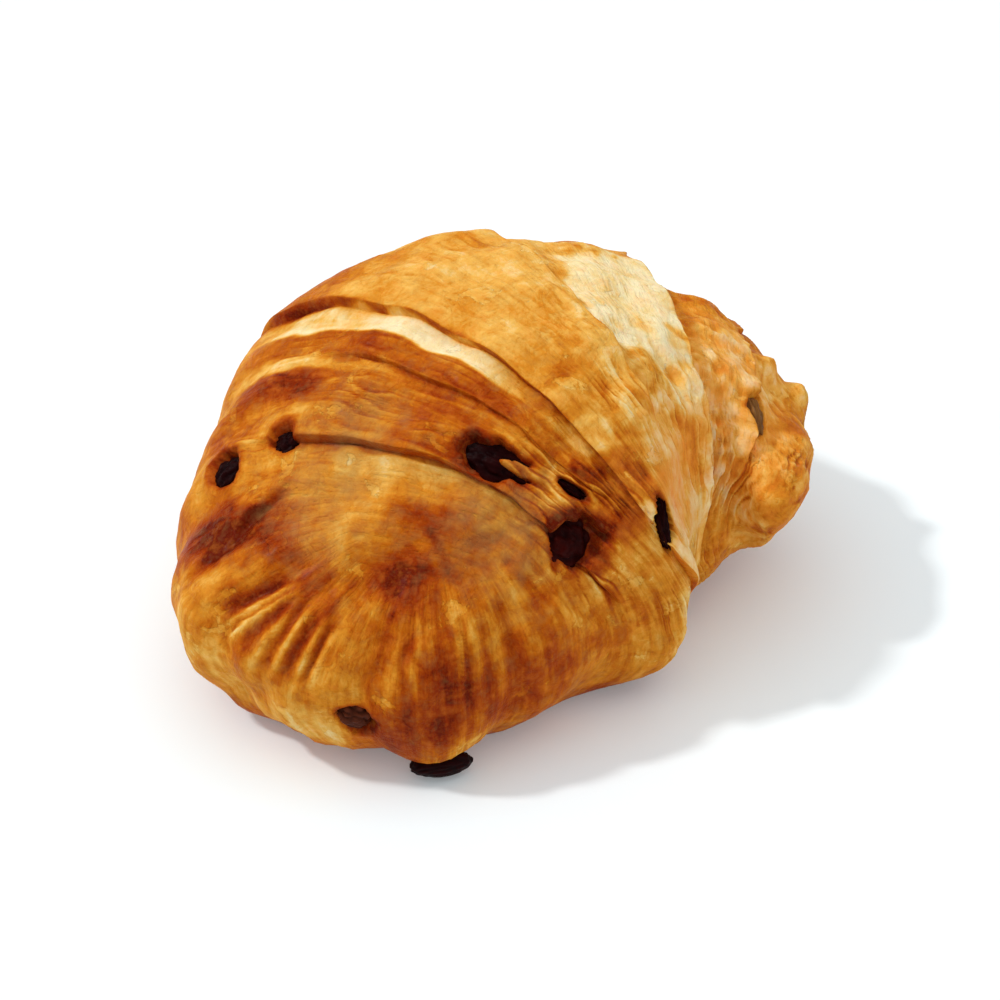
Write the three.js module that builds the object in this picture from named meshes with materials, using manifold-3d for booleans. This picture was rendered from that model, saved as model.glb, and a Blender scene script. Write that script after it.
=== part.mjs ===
// A raisin swirl pastry: laminated dough rolled into a stubby crescent, baked, with raisins in its seams.
// Millimetres, +Z up. The roll lies along X, its blunt near end at -X and its narrower tail at +X.
// It rests on its flat underside, and the origin is the middle of the underside.
//
// A place on the roll has two numbers: at, a share of the spine's length from the near end, and angle,
// from 0 on the crescent's long side over 90 degrees on top to 180 on its short side.
import * as THREE from "three";
import { mergeVertices } from "three/addons/utils/BufferGeometryUtils.js";
import Module from "manifold-3d";

const wasm = await Module();
wasm.setup();

const degrees = THREE.MathUtils.degToRad;
const { clamp, smoothstep } = THREE.MathUtils;
const bell = (x, width) => Math.exp(-((x / width) ** 2));

// ---- The spine, an arc seen from above ----
const SPINE_CENTRE = { x: 4.75, y: -78.18 };
const SPINE_RADIUS = 73.2;
const SPINE_START = degrees(141);
const SPINE_END = degrees(40.3);
const SPINE_LENGTH = SPINE_RADIUS * (SPINE_START - SPINE_END);

// ---- Girth at stations along the spine ----
// outer and inner are half widths towards the long and the short side, belly the height of the widest line.
// top and under are heights above the table and depths below the belly. The table cuts the underside flat.
const STATIONS = [
  { at: 0, outer: 42, inner: 44, top: 40, belly: 20, under: 27 },
  { at: 0.28, outer: 48, inner: 40, top: 55, belly: 20, under: 27 },
  { at: 0.55, outer: 57, inner: 46.5, top: 67.5, belly: 20, under: 27 },
  { at: 0.76, outer: 41, inner: 30, top: 56, belly: 23, under: 25 },
  { at: 0.88, outer: 24, inner: 31.5, top: 48.5, belly: 28, under: 24 },
  { at: 1, outer: 12, inner: 60, top: 36, belly: 30, under: 28 },
];
const SQUARENESS = 2.25; // exponent of the cross-section's super-ellipse
const SHOULDER = { at: 0.45, spread: 0.14, angle: degrees(42), width: degrees(28), gain: 0.012 };
const NEAR_CAP = { length: 51, power: 2.3 };
const TAIL_CAP = { length: 31, power: 2.35 };

// ---- The dough's grain: wraps run straight over the top and sweep to the crotch on the short side ----
const CROTCH = { at: 0.72, angle: degrees(190), width: degrees(33), pull: 0.7 };
const GRAIN_FREE = 0.15; // nearer the near end than this, the grain doesn't sweep
const GRAIN_SWEPT = 0.45;
const GRAIN_LOOSE = { from: 0.8, to: 1 }; // towards the tail's tip it is let go again
const WOBBLE = { turns: 3, advance: 9, size: 0.006 };
const SKIRT = 6; // lower than this the relief dies out, so that the underside stays flat

// ---- Seams, where the edge of one wrap lies on the next ----
// over: the side on top. height in mm, run: mm until the step has died out. from, to: its ends in degrees.
const SEAMS = [
  { at: 0.262, height: 2.6, run: 12, over: "tail", from: 45, to: 178 },
  { at: 0.36, height: 1.3, run: 5, over: "tail", from: 55, to: 150 },
  { at: 0.432, height: 2.4, run: 9, over: "tail", from: 15, to: 190 },
  { at: 0.6, height: 2.2, run: 9, over: "near", from: 10, to: 150 },
  { at: 0.765, height: 4, run: 12, over: "near", from: -40, to: 200 },
  { at: 0.9, height: 1.6, run: 6, over: "near", from: 20, to: 170 },
];
const SEAM_FADE = 25; // degrees over which a seam's end dies out
const EDGE_WIDTH = 1.5; // of the step itself, mm
const EDGE_LEAN = { reach: 1.1, top: 1.2, crease: 0.9 }; // the top edge leans over the crease

// ---- Pleats that fan down the near end from a point near its top ----
// bearing and width in degrees seen from above, from +X towards +Y. height in mm.
// start and full are distances from the fan's centre in mm. fade: where on the spine the pleats end.
const FAN = { at: 0.207, angle: 100, start: 12, full: 30, fade: [0.2, 0.25] };
const PLEATS = [
  { bearing: 122, width: 13, height: -0.8 },
  { bearing: 146, width: 9, height: 0.7 },
  { bearing: 157, width: 4.5, height: -0.8 },
  { bearing: 171, width: 4.5, height: -0.9 },
  { bearing: 185, width: 4.5, height: -0.8 },
  { bearing: 203, width: 9, height: -1.3 },
  { bearing: 237, width: 19, height: 1.7 },
  { bearing: 268, width: 7, height: -1 },
  { bearing: 290, width: 10, height: 0.6 },
];

// ---- Short folds: steps along a line between two places, higher on its left ----
const FOLDS = [
  { first: { at: 0.13, angle: 24 }, last: { at: 0.205, angle: 66 }, height: 1.3, run: 6 },
  { first: { at: 0.06, angle: 12 }, last: { at: 0.13, angle: 24 }, height: 0.7, run: 4 },
  { first: { at: 0.7, angle: 106 }, last: { at: 0.742, angle: 128 }, height: 1.4, run: 3 },
];
const FOLD_EDGE = 1.6; // width of the step, mm
const FOLD_SPAN = [-0.1, 1.1, 0.25]; // from, to and fade, as shares of a fold's length
const FOLD_DEPTH = 9; // how far from its line, into the dough or out of it, a fold still acts, mm

// ---- Swells and hollows: a place, its spread in mm and its height in mm ----
const SWELLS = [
  { at: 0.02, angle: 236, spread: 11, height: 2.6 },
  { at: 0.05, angle: -10, spread: 12, height: -2.2 },
  { at: 0.075, angle: -30, spread: 9, height: -1.5 },
  { at: 0.09, angle: 96, spread: 9, height: -0.9 },
  { at: 0.12, angle: 10, spread: 12, height: 1.7 },
  { at: 0.155, angle: 45, spread: 8, height: -1.2 },
  { at: 0.16, angle: 218, spread: 8, height: -0.9 },
  { at: 0.236, angle: 20, spread: 7, height: 0.8 },
  { at: 0.375, angle: 75, spread: 5, height: 0.8 },
  { at: 0.4, angle: 28, spread: 10, height: 3 },
  { at: 0.46, angle: 52, spread: 9, height: 0.8 },
  { at: 0.56, angle: 44, spread: 8, height: -1.8 },
  { at: 0.6, angle: 174, spread: 6, height: 2 },
  { at: 0.67, angle: 57, spread: 8, height: -2.2 },
  { at: 0.67, angle: 72, spread: 15, height: 1.5 },
  { at: 0.8, angle: 203, spread: 7, height: 1.8 },
  { at: 0.86, angle: 112, spread: 8, height: 1.4 },
  { at: 0.883, angle: 202, spread: 5, height: -1.1 },
  { at: 0.93, angle: 165, spread: 8, height: 1 },
  { at: 0.94, angle: 80, spread: 2.6, height: 2.4 },
  { at: 0.967, angle: 169, spread: 6, height: 1.2 },
  { at: 0.97, angle: 62, spread: 7, height: -1.2 },
  { at: 0.97, angle: 230, spread: 9, height: -2 },
  { at: 0.985, angle: 66, spread: 2.6, height: 2.2 },
  { at: 0.99, angle: 185, spread: 8, height: 2.4 },
  { at: 0.995, angle: 150, spread: 6, height: 1.6 },
];
const LUMPS = { length: 21, height: 0.7 };

// ---- Mesh ----
const ROWS = 66;
const ROW_CROWDING = { share: 2.5, width: 2.4, angle: degrees(60) }; // extra rows at a seam, width in mm
const COLUMNS_OVER = 62;
const COLUMNS_UNDER = 10;
const ROW_SAMPLES = 2000; // places along the spine where the rows' spacing is worked out
const PLACE_STEP = 0.004; // share and radians, for the surface's directions
const MERGE = 0.001; // points closer than this are one, mm
const UNDERSIDE = { from: degrees(-38), to: degrees(218) }; // the columns over the top span these

// ---- Raisins ----
// long lies across the roll before it is turned, wide along it, deep into it. out: how far it stands proud.
const RAISINS = {
  raisin_left_low: { at: 0.236, angle: 41, long: 8, wide: 7.5, deep: 6, out: 0.2, turn: 30 },
  raisin_left_high: { at: 0.256, angle: 62, long: 5.5, wide: 6, deep: 5, out: 0.2, turn: 0 },
  raisin_top_seam: { at: 0.295, angle: 113, long: 13.5, wide: 7.2, deep: 5.5, out: 0.3, turn: 5 },
  raisin_slit: { at: 0.346, angle: 135, long: 6.8, wide: 2.2, deep: 5, out: 0.1, turn: 12 },
  raisin_right: { at: 0.282, angle: 145, long: 10, wide: 9.6, deep: 6.5, out: 0.3, turn: 0 },
  raisin_hood: { at: 0.515, angle: 156.5, long: 10.8, wide: 2.2, deep: 6, out: 1.8, turn: -14 },
  raisin_front: { at: 0.003, angle: 285, long: 7, wide: 6, deep: 5, out: 0, turn: 0 },
  raisin_under_tip: { at: 0.0575, angle: 243.1, long: 12, wide: 6, deep: 5, out: 5.34, turn: -38 },
  raisin_tail: { at: 0.906, angle: 122, long: 9.5, wide: 4.5, deep: 5, out: 1.4, turn: 40 },
};
const RAISIN_PROUD = 0.8; // what stands above the bare roll when out is 0
const RAISIN_GAP = 0.3;
const RAISIN_RINGS = 7;
const RAISIN_SIDES = 12;
const WRINKLES = { around: 5, height: 0.09 };
const DENT = { reach: 1.5, depth: 0.9 };

const MATERIALS = {
  dough: new THREE.MeshStandardMaterial({ color: "#b9712d", roughness: 0.45, metalness: 0 }),
  raisin: new THREE.MeshStandardMaterial({ color: "#1e0a08", roughness: 0.4, metalness: 0 }),
};

/** A smooth curve through the stations' values of one key. */
function girth(key, at) {
  const last = STATIONS.length - 1;
  const slope = (i) => {
    const before = STATIONS[Math.max(i - 1, 0)];
    const after = STATIONS[Math.min(i + 1, last)];
    return (after[key] - before[key]) / (after.at - before.at);
  };
  let i = 0;
  while (i < last - 1 && at > STATIONS[i + 1].at) i++;
  const [from, to] = [STATIONS[i], STATIONS[i + 1]];
  const span = to.at - from.at;
  const t = (at - from.at) / span;
  const hermite = (t - 1) ** 2 * ((1 + 2 * t) * from[key] + t * span * slope(i));
  return hermite + t ** 2 * ((3 - 2 * t) * to[key] + (t - 1) * span * slope(i + 1));
}

/** How full the section is, from 0 at either end's pole to 1. */
function fullness(at) {
  const cap = (distance, { length, power }) =>
    (1 - (1 - clamp(distance / length, 0, 1)) ** power) ** (1 / power);
  return cap(at * SPINE_LENGTH, NEAR_CAP) * cap((1 - at) * SPINE_LENGTH, TAIL_CAP);
}

/** The smooth roll, without seams or pleats. */
function rollPoint(at, angle) {
  const bearing = SPINE_START - at * (SPINE_START - SPINE_END);
  const [c, s] = [Math.cos(angle), Math.sin(angle)];
  const rounded = (x) => Math.sign(x) * Math.abs(x) ** (2 / SQUARENESS);
  const belly = girth("belly", at);
  const shoulder = bell(at - SHOULDER.at, SHOULDER.spread) * bell(angle - SHOULDER.angle, SHOULDER.width);
  const full = fullness(at) * (1 + SHOULDER.gain * shoulder);
  const aside = full * rounded(c) * girth(c > 0 ? "outer" : "inner", at);
  const up = full * rounded(s) * (s > 0 ? girth("top", at) - belly : girth("under", at));
  const fromCentre = SPINE_RADIUS + aside;
  return new THREE.Vector3(
    SPINE_CENTRE.x + fromCentre * Math.cos(bearing),
    SPINE_CENTRE.y + fromCentre * Math.sin(bearing),
    Math.max(belly + up, 0),
  );
}

/** The surface's unit vectors at a place: out of it, and along the roll towards the tail. */
function rollFrame(at, angle) {
  const [before, after] = [Math.max(at - PLACE_STEP, 0), Math.min(at + PLACE_STEP, 1)];
  const along = rollPoint(after, angle).sub(rollPoint(before, angle));
  const across = rollPoint(at, angle + PLACE_STEP).sub(rollPoint(at, angle - PLACE_STEP));
  const out = new THREE.Vector3().crossVectors(across, along).normalize();
  return { out, along: along.normalize() };
}

/** Where a line of the grain that crosses the top at share grain lies on the spine at this angle. */
function sweep(grain, angle) {
  const near = bell(angle - CROTCH.angle, CROTCH.width);
  const pull = CROTCH.pull * near * smoothstep(grain, GRAIN_FREE, GRAIN_SWEPT);
  const held = 1 - smoothstep(grain, GRAIN_LOOSE.from, GRAIN_LOOSE.to);
  const phase = WOBBLE.turns * angle + WOBBLE.advance * grain;
  const wobble = WOBBLE.size * Math.sin(phase) * Math.sin(Math.PI * grain);
  return grain + (CROTCH.at - grain) * pull * held + wobble;
}

/** 1 between two values and 0 outside them, with soft ends. */
const between = (x, from, to, fade) => smoothstep(x, from, from + fade) * (1 - smoothstep(x, to - fade, to));

/** A step of height 1 across s = 0 that dies out away from it. */
const step = (s, width, run) => (smoothstep(s, -width / 2, width / 2) - 0.5) * bell(s, run);

/** The step of one seam: how high the surface stands there, and how far its edge leans. */
function seamStep(seam, grain, angle) {
  const side = seam.over === "tail" ? 1 : -1;
  const s = side * (grain - seam.at) * SPINE_LENGTH; // mm into the upper wrap
  const present = between(THREE.MathUtils.radToDeg(angle), seam.from, seam.to, SEAM_FADE);
  const topEdge = bell(s - EDGE_WIDTH / 2, EDGE_LEAN.top);
  const crease = bell(s + EDGE_WIDTH / 2, EDGE_LEAN.crease);
  return {
    height: present * seam.height * step(s, EDGE_WIDTH, seam.run),
    lean: -side * present * EDGE_LEAN.reach * (topEdge - crease / 2),
  };
}

/** The folds' height at a point. */
function folds(point) {
  let height = 0;
  for (const { start, way, left, out, length, fold } of placedFolds) {
    const away = point.clone().sub(start);
    const present = between(away.dot(way) / length, ...FOLD_SPAN) * bell(away.dot(out), FOLD_DEPTH);
    height += present * fold.height * step(away.dot(left), FOLD_EDGE, fold.run);
  }
  return height;
}

/** The pleats' height at a point of the near end. */
function pleats(point, grain) {
  const fromFan = point.clone().sub(fanCentre);
  const bearing = (THREE.MathUtils.radToDeg(Math.atan2(fromFan.y, fromFan.x)) + 360) % 360;
  const strength = smoothstep(fromFan.length(), FAN.start, FAN.full) * (1 - smoothstep(grain, ...FAN.fade));
  const sum = PLEATS.reduce((total, p) => total + p.height * bell(bearing - p.bearing, p.width), 0);
  return strength * sum;
}

/** Swells, hollows, the raisins' dents and the dough's general lumpiness at a point. */
function swells(point) {
  let height = 0;
  for (const swell of placedSwells) {
    height += swell.height * bell(point.distanceTo(swell.centre), swell.spread);
  }
  const [a, b, c] = point.toArray().map((x) => (2 * Math.PI * x) / LUMPS.length);
  return height + (LUMPS.height / 2) * (Math.sin(a + 1.3 * b + 1) + Math.sin(1.2 * c - 0.8 * a + b));
}

const fanCentre = rollPoint(FAN.at, degrees(FAN.angle));
const placedFolds = FOLDS.map((fold) => {
  const { first, last } = fold;
  const start = rollPoint(first.at, degrees(first.angle));
  const end = rollPoint(last.at, degrees(last.angle));
  const { out } = rollFrame((first.at + last.at) / 2, degrees((first.angle + last.angle) / 2));
  const way = end.clone().sub(start).normalize();
  const left = new THREE.Vector3().crossVectors(out, way);
  return { start, way, left, out, length: start.distanceTo(end), fold };
});
const placedSwells = [
  ...SWELLS,
  ...Object.values(RAISINS).map(({ at, angle, long, wide }) => ({
    at,
    angle,
    spread: (DENT.reach * (long + wide)) / 4,
    height: -DENT.depth,
  })),
].map((swell) => ({ ...swell, centre: rollPoint(swell.at, degrees(swell.angle)) }));

/** A point of the finished dough, on the line of the grain and at the angle. */
function doughPoint(grain, angle) {
  const at = sweep(grain, angle);
  const point = rollPoint(at, angle);
  const { out, along } = rollFrame(at, angle);
  const steps = SEAMS.map((seam) => seamStep(seam, grain, angle));
  const seams = steps.reduce((total, seam) => total + seam.height, 0);
  const raised = seams + pleats(point, grain) + folds(point) + swells(point);
  const lean = steps.reduce((total, seam) => total + seam.lean, 0);
  const free = smoothstep(point.z, 0, SKIRT);
  point.addScaledVector(out, free * raised).addScaledVector(along, free * lean);
  point.z = Math.max(point.z, 0);
  return point;
}

/** Lines of the grain for the mesh's rows, crowded at the seams. */
function rowGrains() {
  const { share, width } = ROW_CROWDING;
  const crowding = (grain) =>
    SEAMS.reduce((sum, seam) => sum + share * bell((grain - seam.at) * SPINE_LENGTH, width), 1);
  const spot = (i) => rollPoint(i / ROW_SAMPLES, ROW_CROWDING.angle);
  const sums = [0];
  for (let i = 0; i < ROW_SAMPLES; i++) {
    const travel = spot(i).distanceTo(spot(i + 1));
    sums.push(sums[i] + travel * crowding((i + 0.5) / ROW_SAMPLES));
  }
  const rows = [];
  for (let row = 1; row < ROWS; row++) {
    const wanted = (sums[ROW_SAMPLES] * row) / ROWS;
    rows.push(sums.findIndex((sum) => sum >= wanted) / ROW_SAMPLES);
  }
  return rows;
}

/** Angles of the mesh's columns, closer over the top than on the underside. */
function columnAngles() {
  const over = UNDERSIDE.to - UNDERSIDE.from;
  const under = 2 * Math.PI - over;
  const angles = [];
  for (let i = 0; i < COLUMNS_OVER; i++) angles.push(UNDERSIDE.from + (over * i) / COLUMNS_OVER);
  for (let i = 0; i < COLUMNS_UNDER; i++) angles.push(UNDERSIDE.to + (under * i) / COLUMNS_UNDER);
  return angles;
}

/** A closed skin over rings of points, with a point at either end. */
function skin(rings, first, last) {
  const sides = rings[0].length;
  const points = [first, ...rings.flat(), last];
  const at = (ring, side) => 1 + ring * sides + (side % sides);
  const faces = [];
  for (let side = 0; side < sides; side++) {
    faces.push(0, at(0, side), at(0, side + 1));
    for (let ring = 0; ring + 1 < rings.length; ring++) {
      const [a, b] = [at(ring, side), at(ring, side + 1)];
      const [c, d] = [at(ring + 1, side), at(ring + 1, side + 1)];
      faces.push(a, c, d, a, d, b);
    }
    faces.push(at(rings.length - 1, side + 1), at(rings.length - 1, side), points.length - 1);
  }
  return new THREE.BufferGeometry().setFromPoints(points).setIndex(faces);
}

/** A geometry as a manifold-3d solid. */
function solidOf(geometry) {
  const merged = mergeVertices(geometry, MERGE);
  return new wasm.Manifold(
    new wasm.Mesh({
      numProp: 3,
      vertProperties: merged.attributes.position.array,
      triVerts: new Uint32Array(merged.index.array),
    }),
  );
}

/** A manifold-3d solid as a geometry. */
function geometryOf(solid) {
  const mesh = solid.getMesh();
  return new THREE.BufferGeometry()
    .setAttribute("position", new THREE.BufferAttribute(mesh.vertProperties, 3))
    .setIndex(new THREE.BufferAttribute(mesh.triVerts, 1));
}

/** The dough before the raisins' pockets are cut. */
function doughGeometry() {
  const angles = columnAngles();
  const rings = rowGrains().map((grain) => angles.map((angle) => doughPoint(grain, angle)));
  const sum = (ring) => ring.reduce((total, point) => total.add(point), new THREE.Vector3());
  const middle = (ring) => sum(ring).divideScalar(ring.length);
  rings.reverse(); // so that the faces point outwards
  return skin(rings, middle(rings[0]), middle(rings[rings.length - 1]));
}

/** One raisin in its place, grown by a margin. */
function raisinGeometry({ at, angle, long, wide, deep, out, turn }, margin = 0) {
  const half = new THREE.Vector3(long, wide, deep).multiplyScalar(0.5);
  const rings = [];
  for (let ring = 1; ring < RAISIN_RINGS; ring++) {
    const polar = (Math.PI * ring) / RAISIN_RINGS;
    rings.push(
      Array.from({ length: RAISIN_SIDES }, (_, side) => {
        const around = (2 * Math.PI * side) / RAISIN_SIDES;
        const wrinkled = 1 + WRINKLES.height * Math.sin(polar) * Math.cos(WRINKLES.around * around + ring);
        return new THREE.Vector3(
          Math.cos(around) * Math.sin(polar) * (half.x * wrinkled + margin),
          Math.sin(around) * Math.sin(polar) * (half.y * wrinkled + margin),
          Math.cos(polar) * (half.z + margin),
        );
      }),
    );
  }
  const geometry = skin(
    rings,
    new THREE.Vector3(0, 0, half.z + margin),
    new THREE.Vector3(0, 0, -half.z - margin),
  );
  const place = degrees(angle);
  const frame = rollFrame(at, place);
  const across = new THREE.Vector3().crossVectors(frame.along, frame.out).normalize();
  const along = new THREE.Vector3().crossVectors(frame.out, across);
  const centre = rollPoint(at, place).addScaledVector(frame.out, out + RAISIN_PROUD - half.z);
  geometry.rotateZ(degrees(turn));
  geometry.applyMatrix4(new THREE.Matrix4().makeBasis(across, along, frame.out).setPosition(centre));
  return geometry;
}

/** One node of the part. */
function node(name, geometry, material) {
  const mesh = new THREE.Mesh(geometry, material);
  mesh.name = name;
  return mesh;
}

const pastry = new THREE.Group();
let dough = solidOf(doughGeometry());
for (const [name, raisin] of Object.entries(RAISINS)) {
  dough = dough.subtract(solidOf(raisinGeometry(raisin, RAISIN_GAP)));
  pastry.add(node(name, raisinGeometry(raisin), MATERIALS.raisin));
}
pastry.add(node("dough", geometryOf(dough), MATERIALS.dough));

export default pastry;
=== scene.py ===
"""The looks of a raisin swirl pastry: flaky dough in overlapping wraps, with raisins in its seams.

Lengths are in millimetres until a mesh is made. A place on the roll has two numbers, as in the part's
source: at is a share of the spine's length from the near end, and angle runs in degrees from 0 on the
crescent's long side over 90 on top to 180 on its short side. The grain is the line that a wrap follows:
it has the share at on top, and sweeps to the crotch on the short side.

Tones are changes of how baked the dough is, from 0 pale to 1 dark, except where they stand for light: the
darker creases, dips, grooves, layer gaps and raisin openings are painted shade, the lighter raised ribs
and crests are painted light, and the darker foot is partly painted shade. Colours are 0 to 255 on screen.
"""

import math

import bpy
import numpy as np
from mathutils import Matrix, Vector


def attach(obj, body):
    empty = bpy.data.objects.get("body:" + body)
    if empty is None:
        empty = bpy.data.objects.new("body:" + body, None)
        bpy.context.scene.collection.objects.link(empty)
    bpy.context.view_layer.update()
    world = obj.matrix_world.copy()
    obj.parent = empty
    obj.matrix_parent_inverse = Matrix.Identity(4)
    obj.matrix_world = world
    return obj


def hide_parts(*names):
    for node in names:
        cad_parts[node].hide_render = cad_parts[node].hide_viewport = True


MM = 0.001

# ---- The roll, as in the part ----
SPINE_CENTRE = (4.75, -78.18)
SPINE_RADIUS = 73.2
SPINE_START, SPINE_END = math.radians(141), math.radians(40.3)
SPINE_LENGTH = SPINE_RADIUS * (SPINE_START - SPINE_END)
STATION_AT = (0, 0.28, 0.55, 0.76, 0.88, 1)
# At each station: reach to either side of the spine, height of the top and of the widest line, and depth
# below that line
GIRTH = {
    "outer": (42, 48, 57, 41, 24, 12),
    "inner": (44, 40, 46.5, 30, 31.5, 60),
    "top": (40, 55, 67.5, 56, 48.5, 36),
    "belly": (20, 20, 20, 23, 28, 30),
    "under": (27, 27, 27, 25, 24, 28),
}
SQUARENESS = 2.25
SHOULDER = dict(at=0.45, spread=0.14, angle=42, width=28, gain=0.012)
# Length of the rounded end, and how square it is
NEAR_CAP = (51, 2.3)
TAIL_CAP = (31, 2.35)
CROTCH = dict(at=0.72, angle=190, width=33, pull=0.7)
GRAIN_FREE, GRAIN_SWEPT = 0.15, 0.45
WOBBLE_TURNS, WOBBLE_SIZE = 3, 0.006
# Relief fades out towards the table below this height
TABLE_FREE = 6

# ---- Seams: at, height, run, side on top (1 tailward, -1 nearward), first and last angle ----
SEAMS = (
    (0.262, 2.6, 12, 1, 45, 178),
    (0.36, 1.3, 5, 1, 55, 150),
    (0.432, 2.4, 9, 1, 15, 190),
    (0.6, 2.2, 9, -1, 10, 150),
    (0.765, 4, 12, -1, -40, 200),
    (0.9, 1.6, 6, -1, 20, 170),
)
# Degrees over which a seam fades in and out
SEAM_FADE = 25
EDGE_WIDTH = 0.8
# A wrap's top edge leans over its crease by this share of the step
EDGE_LEAN = 0.72
EDGE_RAGGED = 0.9
# The crease under each wrap's edge is darkened as painted shade: its width, the step that gives it in
# full, and the darkening
CREASE_WIDTH, CREASE_FULL_STEP, CREASE_PAINTED_SHADE = 0.85, 3, 0.36

# ---- The fan of pleats down the near end: bearing, width, height ----
FAN_PLACE = (0.207, 100)
FAN_START, FAN_FULL = 12, 30
FAN_FADE = (0.2, 0.25)
PLEATS = (
    (122, 13, -1.3),
    (146, 9, 1.2),
    (157, 4.5, -1.2),
    (171, 4.5, -1.3),
    (185, 4.5, -1.2),
    (203, 9, -2.2),
    (237, 19, 2.8),
    (268, 7, -1.6),
    (290, 10, 1),
)
# Share of the pleats' height that is left to them beside the spokes
PLEATS_LEFT = 0.6
# Painted shade: the pleats' hollows a little darker and their crests a little lighter
PLEAT_PAINTED_SHADE = -0.03
# Length of a degree of the fan and of a degree round the roll, for the streaks
FAN_MM, ROUND_MM = 0.6, 0.8

# ---- Spokes: grooves and ribs down the front, spread from the fan's centre ----
# bearing, distance of the middle, half length, half width in degrees, height, tone; the tone is painted
# shade in the grooves and painted light on the ribs
FRONT_SPOKES = (
    (207, 31, 8, 3.5, -0.5, 0.06),
    (214, 31, 8, 2.5, 0.4, -0.1),
    (219, 31, 8, 2, -0.5, 0.12),
    (223.5, 29, 9, 2.2, 0.5, -0.14),
    (228, 30, 8, 2.4, 0.3, -0.08),
    (235.5, 29, 10, 6, -0.9, 0.27),
    (243.5, 29, 9, 2, 0.5, -0.14),
    (247, 31, 8, 2, -0.6, 0.2),
    (252, 28, 8, 2.5, 0.4, -0.1),
    (258, 30, 9, 2.5, -0.5, 0.12),
    (265, 29, 9, 2.5, 0.35, -0.06),
    (272, 30, 10, 3, -0.5, 0.1),
    (281, 28, 10, 3, 0.35, -0.06),
    (289, 30, 10, 3, -0.5, 0.1),
)

# ---- Short folds between two places: first, last, height of the step, run of the step ----
FOLDS = {
    "left_red": ((0.13, 24), (0.205, 66), 1.3, 6),
    "rim": ((0.06, 12), (0.13, 24), 0.7, 4),
    "tail_crevice": ((0.7, 106), (0.742, 128), 1.4, 3),
    "front_left": ((0.045, 113), (0.006, 158), 0.7, 3),
    "right_layer": ((0.19, 128), (0.12, 178), 0.5, 6),
    "right_crease": ((0.187, 152), (0.286, 176), -1, 3),
}
# The folds' tone is painted shade at the foot of each step
FOLD_EDGE, FOLD_PAINTED_SHADE = 0.8, 0.12

# ---- Raised or sunk lines between two places: first, last, height, half width, tone: painted shade on sunk lines, painted light on raised ones ----
RIBS = (
    # The near end's ribs and the gaps between them, from the left
    ((0.1, 66), (0.092, 33), -0.8, 1.3, 0.34),
    ((0.095, 69), (0.078, 31), 0.7, 0.7, -0.34),
    ((0.091, 69), (0.0735, 28), -0.5, 0.6, 0.2),
    ((0.088, 70), (0.069, 25), 0.8, 0.9, -0.38),
    ((0.082, 68), (0.054, 28), -0.8, 1.3, 0.18),
    ((0.081, 70), (0.039, 25), 0.6, 0.8, -0.26),
    ((0.075, 71), (0.033, 26), -0.6, 0.9, 0.14),
    ((0.073, 73), (0.026, 24), 0.7, 0.8, -0.3),
    ((0.064, 74), (0.022, 33), -0.9, 1.2, 0.26),
    ((0.058, 77), (0.018, 42), 0.7, 0.8, -0.3),
    ((0.053, 78), (0.014, 40), -0.6, 0.9, 0.16),
    ((0.047, 80), (0.01, 36), 0.5, 0.8, -0.24),
    # Single lines on the dome, the front, beside the dark spot, and in the red crescents
    ((0.18, 82), (0.03, 81), 0.45, 1.5, -0.12),
    ((0.055, 122), (0.02, 148), 0.4, 0.9, -0.14),
    ((0.177, 102), (0.114, 115), -0.5, 0.8, 0.24),
    ((0.143, 34), (0.159, 47), -0.6, 1.6, 0.2),
    ((0.159, 47), (0.195, 64), -0.6, 1.4, 0.16),
    ((0.136, 39), (0.137, 59), 0.6, 1.6, -0.12),
)
# How far ribs and folds wander off their straight line, and how far off the surface they still show
RIB_WANDER, FOLD_WANDER = 0.25, 1
LINE_REACH = 9

# ---- Crumpled skin: size of the crumples, height, tone (painted shade in the dips, lighter on the ridges), and where: at, angle, spread, share ----
CRUMPLE_SIZE, CRUMPLE_HEIGHT, CRUMPLE_PAINTED_SHADE = 3.1, 0.5, -0.22
CRUMPLE_PLACES = ((0.88, 110, 24, 0.6), (0.45, 140, 16, 0.5), (0.2, 125, 16, 0.45), (0.62, 120, 14, 0.5))
CRUMPLE_EVERYWHERE = 0.18

# ---- Swells and hollows: at, angle, spread, height ----
SWELLS = (
    (0.02, 236, 11, 2.6),
    (0.05, -10, 12, -2.2),
    (0.075, -30, 9, -1.5),
    (0.09, 96, 9, -0.9),
    (0.12, 10, 12, 1.7),
    (0.155, 45, 8, -1.2),
    (0.16, 218, 8, -0.9),
    (0.236, 20, 7, 0.8),
    (0.375, 75, 5, 0.8),
    (0.4, 28, 10, 3),
    (0.46, 52, 9, 0.8),
    (0.56, 44, 8, -1.8),
    (0.6, 174, 6, 2),
    (0.67, 57, 8, -2.2),
    (0.67, 72, 15, 1.5),
    (0.8, 203, 7, 1.8),
    (0.86, 112, 8, 1.4),
    (0.883, 202, 5, -1.1),
    (0.93, 165, 8, 1),
    (0.94, 80, 2.6, 2.4),
    (0.967, 169, 6, 1.2),
    (0.97, 62, 7, -1.2),
    (0.97, 230, 9, -2),
    (0.985, 66, 2.6, 2.2),
    (0.99, 185, 8, 2.4),
    (0.995, 150, 6, 1.6),
)
LUMP_LENGTH, LUMP_HEIGHT = 21, 0.7
# Blisters: size, height, seed
BLISTERS = ((7, 0.3, 31), (2.6, 0.14, 32))

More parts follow.
